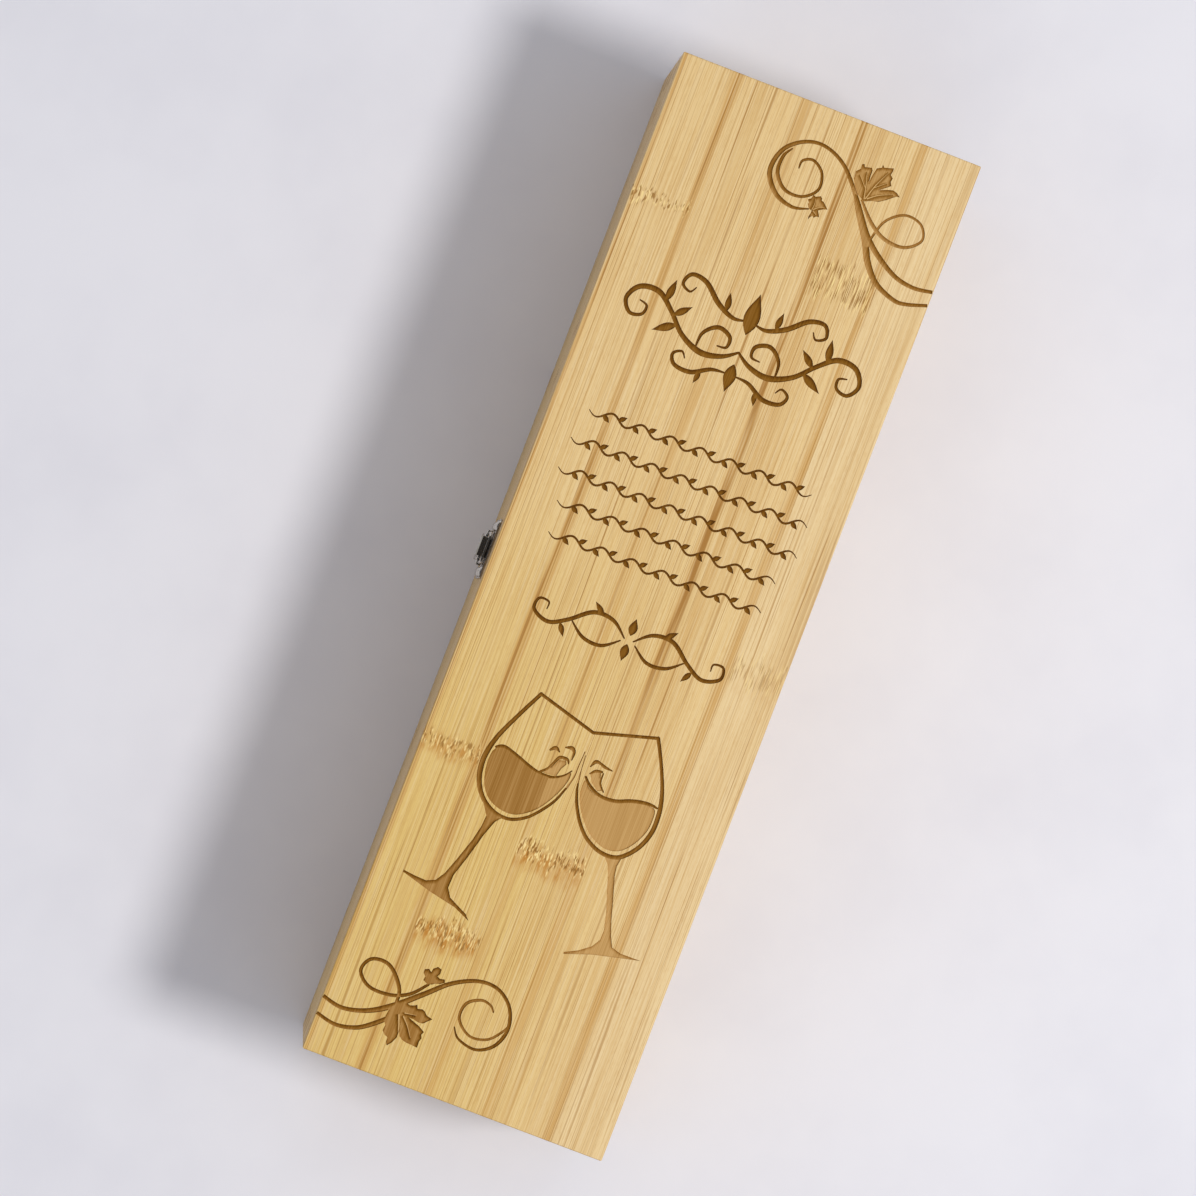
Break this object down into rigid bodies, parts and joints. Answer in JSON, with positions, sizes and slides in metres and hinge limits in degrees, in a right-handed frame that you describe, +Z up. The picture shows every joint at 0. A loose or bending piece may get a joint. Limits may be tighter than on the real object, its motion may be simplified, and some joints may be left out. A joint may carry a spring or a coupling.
{
  "type": "wooden wine box",
  "caption": "Hinged bamboo box for a wine bottle, with finger-jointed corners, cradle boards inside, butt hinges at the back and a draw latch at the front.",
  "frame": {"origin": "middle of the underside, on the surface that the box stands on", "axes": "+Z up, +X along the length of the box, -Y towards the latch, +Y towards the hinges"},
  "size_m": [0.35, 0.1116, 0.105],
  "materials": {
    "bamboo": "satin lacquered bamboo with fine lengthwise fibres",
    "bamboo_inside": "bare sanded bamboo",
    "nickel": "bright nickel plate"
  },
  "bodies": {
    "box_body": {"base_panel": "bamboo", "front_wall": "bamboo", "back_wall": "bamboo", "left_end_wall": "bamboo", "right_end_wall": "bamboo", "neck_cradle": "bamboo_inside", "body_cradle": "bamboo_inside", "hinge_a_body_leaf": "nickel", "hinge_a_pin": "nickel", "hinge_b_body_leaf": "nickel", "hinge_b_pin": "nickel", "hinge_body_screws": "nickel", "latch_base_plate": "nickel", "latch_lever_pin": "nickel", "latch_base_screws": "nickel"},
    "lid": {"lid_panel": "bamboo", "lid_front_rail": "bamboo", "lid_back_rail": "bamboo", "lid_left_end_rail": "bamboo", "lid_right_end_rail": "bamboo", "hinge_a_lid_leaf": "nickel", "hinge_b_lid_leaf": "nickel", "hinge_lid_screws": "nickel", "latch_catch_plate": "nickel", "latch_catch_screws": "nickel"},
    "latch_lever": {"latch_lever": "nickel"},
    "latch_bail_pin": {"latch_bail_pin": "nickel"},
    "latch_bail": {"latch_bail": "nickel"}
  },
  "joints": [
    {"name": "lid_hinge", "type": "hinge", "parent": "box_body", "child": "lid", "pos_m": [0, 0.0536, 0.07515], "axis": [-1, 0, 0], "range_deg": [0, 180]},
    {"name": "lever_swing", "type": "hinge", "parent": "box_body", "child": "latch_lever", "pos_m": [0, -0.0547, 0.066], "axis": [-1, 0, 0], "range_deg": [0, 150]},
    {"name": "bail_pin_turn", "type": "hinge", "parent": "latch_lever", "child": "latch_bail_pin", "pos_m": [0, -0.0545, 0.064], "axis": [-1, 0, 0], "range_deg": [-150, 0]},
    {"name": "bail_swing", "type": "hinge", "parent": "latch_bail_pin", "child": "latch_bail", "pos_m": [0, -0.0545, 0.064], "axis": [1, 0, 0], "range_deg": [0, 90]}
  ],
  "couplings": [
    {"joint": "bail_pin_turn", "follows": "lever_swing", "ratio": -1}
  ]
}
